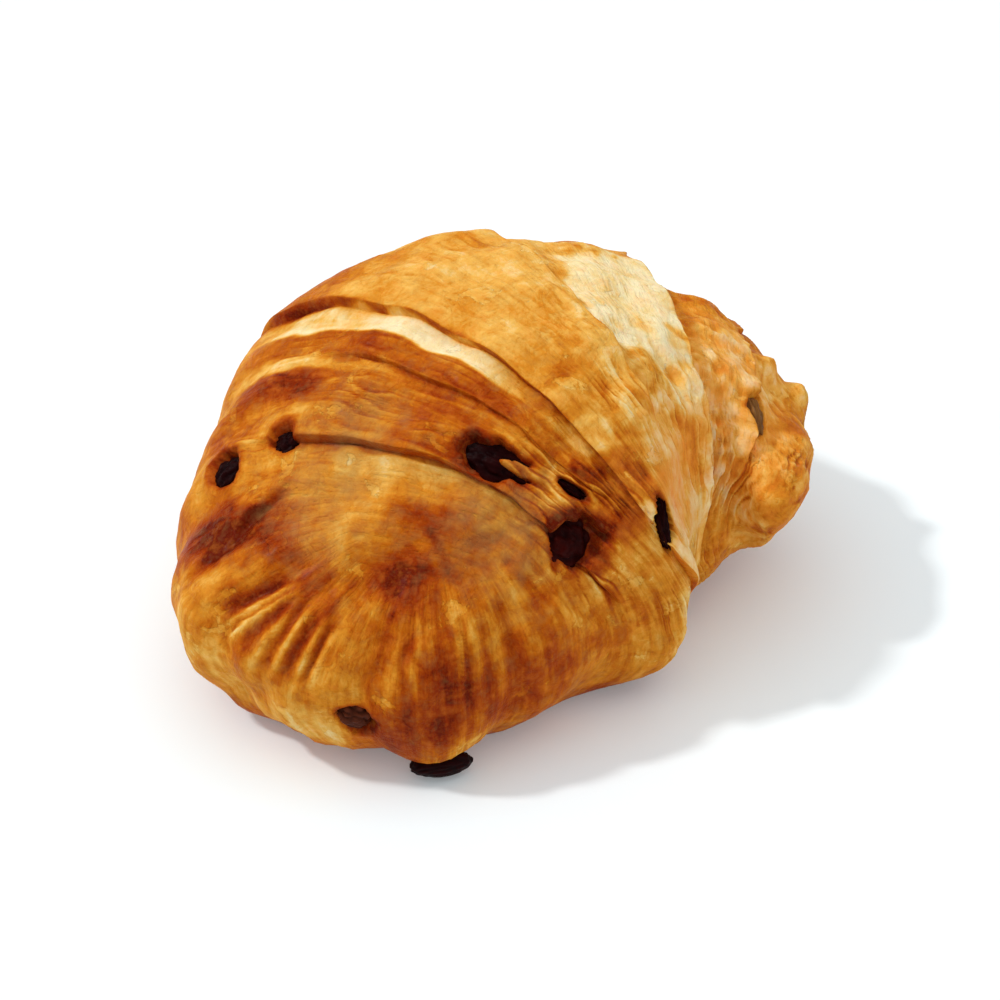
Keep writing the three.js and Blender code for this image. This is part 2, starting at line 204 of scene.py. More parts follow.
# ---- Raisins: at, angle, long, wide, deep, out, turn ----
RAISINS = {
    "left_low": (0.236, 41, 8, 7.5, 6, 0.2, 30),
    "left_high": (0.256, 62, 5.5, 6, 5, 0.2, 0),
    "top_seam": (0.295, 113, 13.5, 7.2, 5.5, 0.3, 5),
    "slit": (0.346, 135, 6.8, 2.2, 5, 0.1, 12),
    "right": (0.282, 145, 10, 9.6, 6.5, 0.3, 0),
    "hood": (0.515, 156.5, 10.8, 2.2, 6, 1.8, -14),
    "front": (0.003, 285, 7, 6, 5, 0, 0),
    "under_tip": (0.0575, 243.1, 12, 6, 5, 5.34, -38),
    "tail": (0.906, 122, 9.5, 4.5, 5, 1.4, 40),
}
RAISIN_RINGS, RAISIN_SIDES = 46, 72
# In the part a raisin's top stands this proud of the smooth roll, and here it is sunk by this much
RAISIN_PROUD, RAISIN_SUNK = 0.8, 1.3
# No raisin comes closer to the table than this
TABLE_GAP = 0.2
# This one is wedged between the dough and the table: it isn't sunk, and it is smoother
RAISIN_WEDGED, WEDGED_WRINKLES = "under_tip", 0.35
# Bend towards the near end and pinch of the middle, as shares of the half width
RAISIN_FORMS = {"hood": (0.7, 0.1), "slit": (0.3, 0)}
# Skin colours on screen, in the folds' bottoms and on the folds; the bottoms' darkness is painted shade
# and the folds' lightness painted light
RAISIN_TINTS = {
    "most": ((6, 2, 3), (44, 8, 8)),
    "tail": ((92, 52, 26), (150, 104, 52)),
    "front": ((24, 6, 3), (104, 48, 28)),
    "right": ((6, 2, 3), (60, 8, 4)),
}

# ---- Pockets: the dough's openings over the raisins ----
POCKET_DEPTH, POCKET_SAG, POCKET_RIM = 3.4, 0.35, 0.4
# The opening's edge, and how far the painted shade round it reaches, in half sizes of the raisin
POCKET_EDGE, POCKET_SHADE_REACH = (0.78, 1.02), (0.9, 1.5)
# How far the opening lies off the raisin, in its half sizes: across the roll, along it
POCKET_SHIFTS = {
    "left_low": (0.15, 0.1),
    "top_seam": (0, 0.1),
    "right": (0.2, 0.25),
    "hood": (0, -0.3),
    "front": (-0.15, -0.2),
}
# A tongue of dough over the raisin: its middle, half length and half width, in half sizes of the raisin
POCKET_TONGUES = {"top_seam": (0.7, 0.12, 0.8, 0.34)}
TONGUE_HEIGHT = 0.5

# ---- Lamination: the edges of the dough's thin layers, which follow the grain ----
LAYER_SPACING, LAYER_HEIGHT = 2.2, 0.5
# Tones of each layer for itself, of its raised edge and of the gap after it, the last being painted shade
LAYER_TONE, LAYER_EDGE_TONE, LAYER_GAP_SHADE = 0.22, -0.13, 0.24

# ---- Mesh ----
ROWS = 430
COLUMNS_OVER, COLUMNS_UNDER = 206, 20
UNDERSIDE = (-38, 218)

# ---- How baked the dough is, from 0 pale to 1 dark, with some painted shade and a painted highlight ----
BAKE_BASE = 0.5
# Uneven baking: size, tone, seed
BAKE_NOISE = ((13, 0.09, 61), (5, 0.08, 62))
# Bands of the grain: from, to, first angle, last angle, tone
BAKE_BANDS = (
    (0.394, 0.43, 28, 112, -0.48),
    (0.363, 0.394, 25, 150, 0.14),
    (0.343, 0.355, 22, 88, -0.16),
    (0.27, 0.343, 25, 130, 0.06),
    (0.435, 0.765, -40, 220, -0.12),
)
BAND_EDGE = 0.003
# Patches: at, angle, half length along the roll, half width, turn, softness of the edge, tone
BAKE_PATCHES = {
    "unbrowned": (0.7, 91, 10, 15.5, 0, 0.14, -0.3),
    "strip_tan": (0.415, 118, 3, 9, 0, 0.5, -0.04),
    "hood_left": (0.47, 44, 8, 14, 0, 0.7, 0.22),
    "hood_mid": (0.49, 124, 7, 9, 0, 0.8, 0.06),
    "strip_left": (0.412, 58, 3, 9, 0, 0.6, 0.16),
    "lip_red": (0.43, 50, 0.6, 9, 0, 0.6, 0.1),
    "wrap_left": (0.32, 55, 5, 14, 0, 0.5, 0.1),
    "wrap_right": (0.36, 128, 5, 10, 0, 0.7, -0.12),
    "wrap_red": (0.322, 56, 3, 10, 0, 0.6, 0.28),
    "under_lip": (0.234, 94, 4.5, 10, 0, 0.4, -0.18),
    "left_red": (0.16, 46, 5.5, 12, -20, 0.7, 0.44),
    "dome_pale": (0.15, 70, 6, 6, 0, 0.6, -0.05),
    "dome_orange": (0.13, 101, 9, 10, 0, 0.6, 0.16),
    "dome_dark": (0.1, 100, 4, 5, 0, 0.9, 0.4),
    "dome_top": (0.2, 96, 3, 4, 0, 0.6, 0.08),
    "flank_brown": (0.42, 143, 8, 7, 0, 0.5, 0.3),
    "flank_pale": (0.62, 152, 9, 15, 0, 0.6, -0.12),
    "flank_low": (0.6, 176, 6, 8, 0, 0.5, -0.06),
    "tail_cream": (0.87, 118, 10, 14, 0, 0.6, -0.22),
    "tail_orange": (0.96, 90, 5, 10, 0, 0.5, -0.06),
    "tail_low": (0.93, 168, 10, 12, 0, 0.7, -0.15),
    "tail_specks": (0.92, 127, 6, 8, 0, 0.7, 0.06),
    "tail_top": (0.87, 88, 6, 7, 0, 0.7, -0.16),
    # Painted shade in the pocket wall above the right raisin
    "right_shade": (0.289, 140, 2.6, 3, 0, 0.4, 0.3),
    "slit_mark": (0.384, 132, 0.8, 2, 10, 0.4, 0.34),
    # Painted highlight: small glints beside the hood raisin
    "hood_glint": (0.478, 152, 0.9, 2.6, 0, 0.4, -0.5),
    "tail_red": (0.84, 118, 3, 4, 0, 0.5, 0.14),
    "right_brown": (0.19, 150, 12, 16, 0, 0.5, 0.04),
    "flank_red": (0.4, 151, 5, 5, 0, 0.8, 0.1),
    "low_left": (0.03, 0, 13, 12, 0, 0.7, -0.15),
    "shell_brown": (0.062, 57, 10, 13, 0, 0.7, 0.24),
    "tip": (0.008, 228, 5, 9, 0, 0.8, 0.34),
    "front_red": (0.021, 138, 2.2, 7, 0, 0.4, 0.04),
    "front_brown": (0.03, 120, 8, 14, 0, 0.8, 0.1),
    "low_right": (0.09, 185, 12, 8, 0, 0.8, 0.26),
}
# Darker towards the table: the underside's browning together with painted shade low down
FOOT_BROWNING_AND_SHADE = dict(start=2, height=9, tone=0.3)

# ---- Tint: where the crust is more orange, above 0, or more tan, below 0 ----
ORANGE, TAN = (238, 140, 52), (172, 136, 78)
ORANGE_MIX, TAN_MIX = 0.42, -0.34
TINT_LIMITS = (-1, 1.6)
# at, angle, spread, share
TINT_PLACES = (
    (0.9, 125, 16, 1.1),
    (0.86, 90, 9, 0.7),
    (0.63, 152, 12, 1.5),
    (0.24, 118, 10, -0.9),
    (0.19, 127, 8, -0.9),
    (0.27, 80, 9, -0.9),
    (0.17, 76, 10, -0.9),
)

# ---- Crust: its colours from pale to dark, by level ----
CRUST_COLOURS = (
    (0.0, (250, 232, 184)),
    (0.16, (244, 212, 145)),
    (0.3, (237, 180, 84)),
    (0.45, (218, 140, 38)),
    (0.6, (190, 98, 12)),
    (0.74, (164, 66, 6)),
    (0.88, (142, 44, 4)),
    (1.0, (104, 22, 3)),
)
# How much each pattern changes the level
FINE_SHARE, BROAD_SHARE, MOTTLE_SHARE, SPECKS_SHARE = 0.34, 0.5, 0.36, 0.16
# The last of these darkens the dough round the raisins' openings as painted shade
VEINS_SHARE, FLAKE_SHARE, RAISIN_SHADE_SHARE = 0.04, 0.1, 0.36
HUE_SHARE = 2.6
# Heights of the patterns' relief, in metres
RELIEF = {"fine": 0.0005, "mottle": 0.0006, "veins": 0.00004, "specks": 0.00012, "flake": 0.00012}

# ---- Camera and light ----
CAMERA_AZIMUTH, CAMERA_ELEVATION = -41.5, 37
CAMERA_TARGET = (6.05, -2.38, 20)
CAMERA_DISTANCE = 600
FOCAL_PIXELS, IMAGE_PIXELS, SENSOR_MM = 3120, 1000, 36
KEY_AZIMUTH, KEY_ELEVATION = 138, 50
KEY_STRENGTH, KEY_SOFTNESS = 1.25, 5
# The fill and the front light cast no shadow
FILL_AZIMUTH, FILL_ELEVATION = 80, 42
FILL_STRENGTH = 0.5
FRONT_AZIMUTH, FRONT_ELEVATION = -62, 28
FRONT_STRENGTH = 0.4
AMBIENT, AMBIENT_COLOUR = 0.4, (0.96, 1.0, 1.05, 1)
FLOOR_HALF, FLOOR_COLOUR = 3000, (0.9, 0.96, 0.97, 1)
# The overhead softbox: side and height in m, power in W
SOFTBOX_SIDE, SOFTBOX_HEIGHT, SOFTBOX_POWER = 1.6, 1.0, 5.4


def bell(x, width):
    return np.exp(-((x / width) ** 2))


def smoothstep(x, low, high):
    t = np.clip((x - low) / (high - low), 0, 1)
    return t * t * (3 - 2 * t)


def noise(x, y, z, seed):
    """Smooth noise from -1 to 1, on a lattice of side 1."""
    table = np.random.default_rng(seed).uniform(-1, 1, (32, 32, 32))
    floors = [np.floor(c).astype(int) for c in (x, y, z)]
    shares = [smoothstep(c - f, 0, 1) for c, f in zip((x, y, z), floors)]
    total = 0
    for corner in np.ndindex(2, 2, 2):
        weight = 1
        for share, side in zip(shares, corner):
            weight = weight * (share if side else 1 - share)
        i, j, k = ((f + side) % 32 for f, side in zip(floors, corner))
        total = total + weight * table[i, j, k]
    return total


def noise_at(point, size, seed):
    """Noise in the round, with lumps of this size."""
    return noise(point[..., 0] / size, point[..., 1] / size, point[..., 2] / size, seed)


def around(turned, length):
    """Two coordinates for a place round the roll, so that noise closes on itself. length in degrees."""
    radius = 180 / math.pi / length
    return radius * np.cos(np.radians(turned)), radius * np.sin(np.radians(turned))


def girth(key, at):
    """A smooth curve through the stations' values of one key."""
    places = np.array(STATION_AT, float)
    values = np.array(GIRTH[key], float)
    padded_places = np.concatenate([places[:1], places, places[-1:]])
    padded_values = np.concatenate([values[:1], values, values[-1:]])
    slopes = (padded_values[2:] - padded_values[:-2]) / (padded_places[2:] - padded_places[:-2])
    i = np.clip(np.searchsorted(places, at, side="left") - 1, 0, len(places) - 2)
    span = places[i + 1] - places[i]
    t = (at - places[i]) / span
    start = (t - 1) ** 2 * ((1 + 2 * t) * values[i] + t * span * slopes[i])
    return start + t**2 * ((3 - 2 * t) * values[i + 1] + (t - 1) * span * slopes[i + 1])


def cap(distance, length, power):
    return (1 - (1 - np.clip(distance / length, 0, 1)) ** power) ** (1 / power)


def rounded(x):
    return np.sign(x) * np.abs(x) ** (2 / SQUARENESS)


def roll_point(at, angle):
    """The smooth roll, without seams or pleats. angle in radians."""
    bearing = SPINE_START - at * (SPINE_START - SPINE_END)
    c, s = np.cos(angle), np.sin(angle)
    shoulder = bell(at - SHOULDER["at"], SHOULDER["spread"])
    shoulder = shoulder * bell(np.degrees(angle) - SHOULDER["angle"], SHOULDER["width"])
    shoulder = 1 + SHOULDER["gain"] * shoulder
    full = cap(at * SPINE_LENGTH, *NEAR_CAP) * cap((1 - at) * SPINE_LENGTH, *TAIL_CAP) * shoulder
    belly = girth("belly", at)
    aside = full * rounded(c) * np.where(c > 0, girth("outer", at), girth("inner", at))
    up = full * rounded(s) * np.where(s > 0, girth("top", at) - belly, girth("under", at))
    out = SPINE_RADIUS + aside
    x = SPINE_CENTRE[0] + out * np.cos(bearing)
    y = SPINE_CENTRE[1] + out * np.sin(bearing)
    return np.stack([x, y, np.maximum(belly + up, 0)], -1)


def place_point(at, angle):
    """The smooth roll's point at one place. angle in degrees."""
    return roll_point(np.array(at), np.array(math.radians(angle)))


def nearness(point, at, angle, spread):
    """1 at a place on the roll, fading to 0 away from it."""
    return bell(np.linalg.norm(point - place_point(at, angle), axis=-1), spread)


def unit(v):
    return v / np.maximum(np.linalg.norm(v, axis=-1, keepdims=True), 1e-9)


def roll_frame(at, angle):
    """The surface's unit vectors at a place: out of it, and along the roll towards the tail."""
    step = 0.004
    along = roll_point(np.minimum(at + step, 1), angle) - roll_point(np.maximum(at - step, 0), angle)
    across = roll_point(at, angle + step) - roll_point(at, angle - step)
    return unit(np.cross(across, along)), unit(along)


def sweep(grain, angle):
    """Where a line of the grain lies on the spine at this angle."""
    pull = CROTCH["pull"] * bell(np.degrees(angle) - CROTCH["angle"], CROTCH["width"])
    pull = pull * smoothstep(grain, GRAIN_FREE, GRAIN_SWEPT) * (1 - smoothstep(grain, 0.8, 1))
    wobble = WOBBLE_SIZE * np.sin(WOBBLE_TURNS * angle + 9 * grain) * np.sin(math.pi * grain)
    return grain + (CROTCH["at"] - grain) * pull + wobble


def present(turned, first, last, fade=SEAM_FADE):
    return smoothstep(turned, first, first + fade) * (1 - smoothstep(turned, last - fade, last))


def seam_steps(grain, turned):
    """Height and lean of all seams together, and how deep in a crease the place lies."""
    height, lean, crease = 0, 0, 0
    for number, (at, step, run, side, first, last) in enumerate(SEAMS):
        ragged = EDGE_RAGGED * noise(*around(turned, 10), number + 0.5, 11)
        ragged = ragged + 0.3 * EDGE_RAGGED * noise(*around(turned, 3.4), number + 0.5, 12)
        s = side * (grain - at) * SPINE_LENGTH + ragged
        here = present(turned, first, last)
        rise = smoothstep(s, -EDGE_WIDTH / 2, EDGE_WIDTH / 2) - 0.5
        height = height + here * step * rise * bell(s, run)
        reach = bell(s - EDGE_WIDTH / 2, 1.4) - 0.5 * bell(s + EDGE_WIDTH / 2, 1)
        lean = lean - side * here * EDGE_LEAN * step * reach
        crease = crease + here * min(step / CREASE_FULL_STEP, 1) * bell(s + 0.35, CREASE_WIDTH)
    return height, lean, crease


def fan_place(point):
    """Bearing from the fan's centre in degrees, seen from above, and distance from it."""
    away = point - place_point(*FAN_PLACE)
    bearing = np.degrees(np.arctan2(away[..., 1], away[..., 0])) % 360
    return bearing, np.linalg.norm(away, axis=-1)


def pleats(point, grain):
    """The fan's height, and its share of the surface's streaks."""
    bearing, distance = fan_place(point)
    alive = 1 - smoothstep(grain, *FAN_FADE)
    share = smoothstep(distance, FAN_START * 0.9, FAN_START * 1.7) * alive * present(bearing, 95, 335, 30)
    strength = PLEATS_LEFT * smoothstep(distance, FAN_START, FAN_FULL) * alive
    return strength * sum(high * bell(bearing - at, width) for at, width, high in PLEATS), share


def spokes(point):
    """Height and tone of the spokes round the fan's centre: painted shade in the grooves, painted light
    on the ribs.
    """
    bearing, distance = fan_place(point)
    bearing = bearing + 4 * noise(bearing / 17, distance / 6, 0.5, 23)
    height, tone = 0, 0
    for towards, middle, length, width, high, change in FRONT_SPOKES:
        here = bell(bearing - towards, width) * bell(distance - middle, length)
        height = height + high * here
        tone = tone + change * here
    return height, tone


def along_line(point, first, last, wandering):
    """Beside a line between two places: share along it, mm to its left, and how strongly it is there."""
    start, end = place_point(*first), place_point(*last)
    middle = (np.array(first) + np.array(last)) / 2
    outward, _ = roll_frame(np.array(middle[0]), np.array(math.radians(middle[1])))
    length = np.linalg.norm(end - start)
    way = (end - start) / length
    away = point - start
    wander = 1.6 * noise_at(point, 5, 25) + 0.5 * noise_at(point, 1.7, 26)
    left = away @ np.cross(outward, way) + wandering * wander
    return away @ way / length, left, bell(away @ outward, LINE_REACH)


def folds(point):
    """Height and tone of the short folds and of the raised or sunk lines; the tone is painted shade where
    they sink and painted light where they rise.
    """
    height, tone = 0, 0
    for first, last, step, run in FOLDS.values():
        share, left, here = along_line(point, first, last, FOLD_WANDER)
        here = present(share, -0.1, 1.1, 0.25) * here
        height = height + here * step * (smoothstep(left, -FOLD_EDGE, FOLD_EDGE) - 0.5) * bell(left, run)
        tone = tone + here * FOLD_PAINTED_SHADE * step * bell(left + FOLD_EDGE, 1.3)
    for first, last, high, width, change in RIBS:
        share, left, here = along_line(point, first, last, RIB_WANDER)
        here = present(share, -0.1, 1.15, 0.3) * here * bell(left, width)
        height = height + here * high
        tone = tone + here * change
    return height, tone


def crumple(point, grain, turned):
    """Crumpled skin: height, and tone that is darker in the dips and lighter on the ridges, as painted
    shade and light.
    """
    x, y, z = (point[..., i] / CRUMPLE_SIZE for i in range(3))
    ridges = 1 - 2 * np.abs(noise(x + 0.4 * np.sin(y), y, z, 33))
    ridges = ridges - 1.2 * np.abs(noise(2 * x, 2 * y, 2 * z, 34))
    flow = 1 - 2.4 * np.abs(noise(*around(turned, 7), grain * SPINE_LENGTH / CRUMPLE_SIZE, 35))
    flow = flow + (ridges - flow) * smoothstep(grain, 0.76, 0.8)
    where = CRUMPLE_EVERYWHERE
    for at, angle, spread, share in CRUMPLE_PLACES:
        where = where + share * nearness(point, at, angle, spread)
    height = np.clip(where, 0, 1) * (0.6 * ridges + 0.4 * flow)
    return CRUMPLE_HEIGHT * height, CRUMPLE_PAINTED_SHADE * height


def swells(point):
    """Swells, hollows, the dough's general lumpiness and its blisters."""
    height = 0
    for at, angle, spread, tall in SWELLS:
        height = height + tall * nearness(point, at, angle, spread)
    a, b, c = (2 * math.pi * point[..., i] / LUMP_LENGTH for i in range(3))
    lumps = np.sin(a + 1.3 * b + 1) + np.sin(1.2 * c - 0.8 * a + b)
    blisters = sum(tall * noise_at(point, size, seed) for size, tall, seed in BLISTERS)
    return height + LUMP_HEIGHT / 2 * lumps + blisters


def strands(grain, turned):
    """Where the wraps draw out into strands, on the short side."""
    return present(turned, 112, 205) * smoothstep(grain, 0.15, 0.3)


def layers(grain, turned, point):
    """The thin layers' edges as small steps along the grain, each layer's own tone, and painted shade in
    the gaps between them.
    """
    wander = 1.1 * noise(*around(turned, 16), grain * 30, 41)
    wander = wander + 0.4 * noise(*around(turned, 5), grain * 60, 42)
    turns = grain * SPINE_LENGTH / LAYER_SPACING + wander
    share = turns - np.floor(turns)
    saw = smoothstep(share, 0, 0.75) * (1 - smoothstep(share, 0.8, 1)) - 0.5
    edge = bell(share - 0.72, 0.13)
    gap = bell(share - 0.97, 0.1) + bell(share + 0.03, 0.1)
    strength = np.clip(0.42 + 1.3 * noise_at(point, 8, 43), 0, 1)
    wrapped = bell(grain - 0.315, 0.07) + 0.35 * smoothstep(grain, 0.4, 0.5)
    where = strength * np.clip(wrapped + strands(grain, turned), 0, 1.2)
    own = noise(*around(turned, 11), np.floor(turns) * 0.73, 44)
    tone = where * (LAYER_TONE * own + LAYER_EDGE_TONE * edge + LAYER_GAP_SHADE * gap)
    return LAYER_HEIGHT * saw * where, tone


def raisin_frame(name):
    """A raisin's centre and its axes, across the roll, along it and out of it, after its turn."""
    at, angle, _, _, deep, out, turn = RAISINS[name]
    at, angle = np.array(at), np.array(math.radians(angle))
    outward, along = roll_frame(at, angle)
    across = unit(np.cross(along, outward))
    along = np.cross(outward, across)
    c, s = math.cos(math.radians(turn)), math.sin(math.radians(turn))
    centre = roll_point(at, angle) + outward * (out + RAISIN_PROUD - deep / 2)
    return centre, np.stack([across * c + along * s, along * c - across * s, outward])


def tongue(name, local, point):
    """1 where a tongue of dough lies over the raisin. local is in half sizes of the raisin."""
    if name not in POCKET_TONGUES:
        return 0
    u, v, half_long, half_wide = POCKET_TONGUES[name]
    inside = np.hypot((local[..., 0] - u) / half_long, (local[..., 1] - v) / half_wide)
    return 1 - smoothstep(inside + 0.2 * noise_at(point, 1.5, 52), 0.75, 1.1)


def pockets(point):
    """How far the dough sinks round the raisins, and how close the nearest opening is, which sets the
    painted shade round it.
    """
    sink, near = 0, 0
    for name, (_, _, long, wide, deep, _, _) in RAISINS.items():
        centre, axes = raisin_frame(name)
        offset = (point - centre) @ axes.T
        local = offset[..., :2] / np.array([long / 2, wide / 2])
        shift = POCKET_SHIFTS.get(name, (0, 0))
        edge = np.hypot(local[..., 0] - shift[0], local[..., 1] - shift[1])
        edge = edge + 0.3 * noise_at(point, 2.2, 51)
        close = bell(offset[..., 2] - deep / 2, deep)
        mend = tongue(name, local, point)
        hole = (1 - mend) * (1 - smoothstep(edge, *POCKET_EDGE))
        raised = POCKET_RIM * bell(edge - 1.3, 0.3) + TONGUE_HEIGHT * mend
        sink = sink + close * (raised - POCKET_DEPTH * hole - POCKET_SAG * bell(edge, 1.9))
        near = near + close * (1 - 0.8 * mend) * (1 - smoothstep(edge, *POCKET_SHADE_REACH))
    return sink, np.clip(near, 0, 1)


def dough_surface(grain, angle):
    """Points of the finished dough, and the shares that its material reads."""
    turned = np.degrees(angle)
    at = sweep(grain, angle)
    point = roll_point(at, angle)
    outward, along = roll_frame(at, angle)
    step, lean, crease = seam_steps(grain, turned)
    pleat, fan_share = pleats(point, grain)
    front, front_tone = spokes(point)
    fold, fold_tone = folds(point)
    thin, thin_tone = layers(grain, turned, point)
    skin, skin_tone = crumple(point, grain, turned)
    sink, near = pockets(point)
    raised = step + pleat + front + fold + swells(point) + thin + skin + sink
    # Painted shade and light: creases, dips, grooves and pleat hollows darker, raised ribs and crests
    # lighter
    tone = thin_tone + fold_tone + skin_tone + front_tone + PLEAT_PAINTED_SHADE * pleat + CREASE_PAINTED_SHADE * crease
    bearing, distance = fan_place(point)
    level, aside = around(turned, 1 / ROUND_MM)
    shares = {
        "wrap_across": grain * SPINE_LENGTH,
        "wrap_level": level,
        "wrap_aside": aside,
        "fan_across": bearing * FAN_MM,
        "fan_along": distance,
        "fan_share": fan_share,
        "streak": streakiness(grain, turned) * (0.6 + 0.4 * smoothstep(distance, 5, 20)),
        "pocket_shade": near,
        "bake": bake(grain, turned, point) + tone,
        "tint": tint(point) * (1 - near),
    }
    free = smoothstep(point[..., 2], 0, TABLE_FREE)
    finished = point + outward * (free * raised)[..., None] + along * (free * lean)[..., None]
    finished[..., 2] = np.maximum(finished[..., 2], 0)
    return finished, shares


def streakiness(grain, turned):
    """How strongly the fine streaks show: most on the wrapped layers and on the strands."""
    wrapped = bell(grain - 0.32, 0.06)
    drawn = strands(grain, turned) * (1 - 0.6 * smoothstep(grain, 0.75, 0.85))
    dome = 0.45 * (1 - smoothstep(grain, *FAN_FADE))
    return np.clip(0.4 + 0.5 * wrapped + 0.5 * drawn + dome, 0, 1)


def patch(point, at, angle, length, width, turn, softness):
    """1 inside an uneven patch on the dough, and 0 outside it."""
    outward, along = roll_frame(np.array(at), np.array(math.radians(angle)))
    across = np.cross(outward, along)
    c, s = math.cos(math.radians(turn)), math.sin(math.radians(turn))
    away = point - place_point(at, angle)
    u = away @ (along * c + across * s) / length
    v = away @ (across * c - along * s) / width
    off = away @ outward / (length + width)
    ragged = 0.28 * noise_at(point, 5, 63) + 0.14 * noise_at(point, 1.9, 64)
    reach = (np.abs(u) ** 2.5 + np.abs(v) ** 2.5 + off**2) ** 0.4
    return 1 - smoothstep(reach + ragged, 1 - softness, 1 + softness)


def bake(grain, turned, point):
    """How baked the dough is at a place, from 0 pale to 1 dark; its foot and some patches carry painted
    shade, and one patch a painted highlight.
    """
    baked = BAKE_BASE + sum(tone * noise_at(point, size, seed) for size, tone, seed in BAKE_NOISE)
    ragged = grain + 0.004 * noise(*around(turned, 5), grain * 20, 65)
    for low, high, first, last, tone in BAKE_BANDS:
        inside = smoothstep(ragged, low - BAND_EDGE, low + BAND_EDGE)
        inside = inside * (1 - smoothstep(ragged, high - BAND_EDGE, high + BAND_EDGE))
        baked = baked + tone * inside * present(turned, first, last)
    for *place, tone in BAKE_PATCHES.values():
        baked = baked + tone * patch(point, *place)
    foot = 1 - smoothstep(point[..., 2], FOOT_BROWNING_AND_SHADE["start"], FOOT_BROWNING_AND_SHADE["height"])
    return baked + FOOT_BROWNING_AND_SHADE["tone"] * foot


def tint(point):
    """How much more orange, above 0, or more tan, below 0, the crust is."""
    share = sum(change * nearness(point, at, angle, spread) for at, angle, spread, change in TINT_PLACES)
    return np.clip(share * (1 + 0.5 * noise_at(point, 3, 66)), *TINT_LIMITS)


def row_grains():
    """Lines of the grain for the rows, crowded at the seams and over the fine layers."""
    fine = np.linspace(0, 1, 4001)
    middle = (fine[1:] + fine[:-1]) / 2
    spots = roll_point(fine, np.full_like(fine, math.radians(60)))
    travel = np.linalg.norm(np.diff(spots, axis=0), axis=1)
    crowd = 1 + 0.8 * bell(middle - 0.34, 0.09)
    for at, *_ in SEAMS:
        crowd = crowd + 3 * bell((middle - at) * SPINE_LENGTH, 1.6)
    sums = np.concatenate([[0], np.cumsum(travel * crowd)])
    return np.interp(sums[-1] * np.arange(1, ROWS) / ROWS, sums, fine)


def column_angles():
    """Angles for the columns: many over the roll, and few under it."""
    low, high = map(math.radians, UNDERSIDE)
    over = np.linspace(low, high, COLUMNS_OVER, endpoint=False)
    under = np.linspace(high, low + 2 * math.pi, COLUMNS_UNDER, endpoint=False)
    return np.concatenate([over, under])


def grid_faces(rings, sides):
    """Quads between closed rings, and triangles at either end. The first and last points are poles."""
    faces = []
    last = 1 + rings * sides
    end = 1 + (rings - 1) * sides
    for side in range(sides):
        after = (side + 1) % sides
        faces.append((0, 1 + after, 1 + side))
        faces.append((last, end + side, end + after))
        for ring in range(rings - 1):
            a = 1 + ring * sides
            faces.append((a + side, a + after, a + sides + after, a + sides + side))
    return faces


def make_mesh(name, points, faces, shares=None):
    """A smooth mesh object from points in millimetres, with one float attribute for each share."""
    mesh = bpy.data.meshes.new(name)
    mesh.from_pydata((points * MM).tolist(), [], faces)
    for key, values in (shares or {}).items():
        attribute = mesh.attributes.new(key, "FLOAT", "POINT")
        attribute.data.foreach_set("value", values.astype(np.float32))
    mesh.shade_smooth()
    made = bpy.data.objects.new(name, mesh)
    bpy.context.scene.collection.objects.link(made)
    return made


def make_dough():
    grains, angles = row_grains(), column_angles()
    grain, angle = np.meshgrid(grains, angles, indexing="ij")
    points, shares = dough_surface(grain, angle)
    poles = points[0].mean(0), points[-1].mean(0)
    points = np.concatenate([poles[:1], points.reshape(-1, 3), poles[1:]])
    for key, values in shares.items():
        shares[key] = np.concatenate([[values[0].mean()], values.reshape(-1), [values[-1].mean()]])
    dough = make_mesh("laminated_dough", points, grid_faces(len(grains), len(angles)), shares)
    dough.data.materials.append(crust_material())
    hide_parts("dough")
    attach(dough, "root")


def ball_points():
    """Points of a unit ball in rings, from pole to pole."""
    polar, azimuth = np.meshgrid(
        np.pi * np.arange(1, RAISIN_RINGS) / RAISIN_RINGS,
        2 * np.pi * np.arange(RAISIN_SIDES) / RAISIN_SIDES,
        indexing="ij",
    )
    flat = np.sin(polar)
    way = np.stack([np.cos(azimuth) * flat, np.sin(azimuth) * flat, np.cos(polar)], -1)
    return np.concatenate([[[0, 0, 1]], way.reshape(-1, 3), [[0, 0, -1]]])


def make_raisin(name, number):
    """One raisin, wrinkled by folds that run mostly along it."""
    _, _, long, wide, deep, _, _ = RAISINS[name]
    wedged = name == RAISIN_WEDGED
    way = ball_points()
    x, y, z = way.T
    wrinkles = np.abs(noise(x * 1.6 + number, y * 3.4, z * 3.4, 71))
    creases = np.abs(noise(x * 3.5, y * 6 + number, z * 6, 72))
    wrinkled = WEDGED_WRINKLES if wedged else 1
    radius = 0.94 + wrinkled * (0.26 * wrinkles + 0.1 * creases - 0.06)
    bend, pinch = RAISIN_FORMS.get(name, (0, 0))
    radius = radius * (1 - pinch * bell(x, 0.35))
    shaped = way * np.array([long, wide, deep]) / 2 * radius[:, None]
    shaped[:, 1] += bend * wide / 2 * (x**2 - 0.4)
    centre, axes = raisin_frame(name)
    points = centre + shaped @ axes - axes[2] * (0 if wedged else RAISIN_SUNK)
    points[:, 2] = np.maximum(points[:, 2], TABLE_GAP)
    faces = grid_faces(RAISIN_RINGS - 1, RAISIN_SIDES)
    raisin = make_mesh("dried_grape_" + name, points, faces, {"fold": wrinkles + creases / 2})
    raisin.data.materials.append(raisin_material(name))
    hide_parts("raisin_" + name)
    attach(raisin, "root")


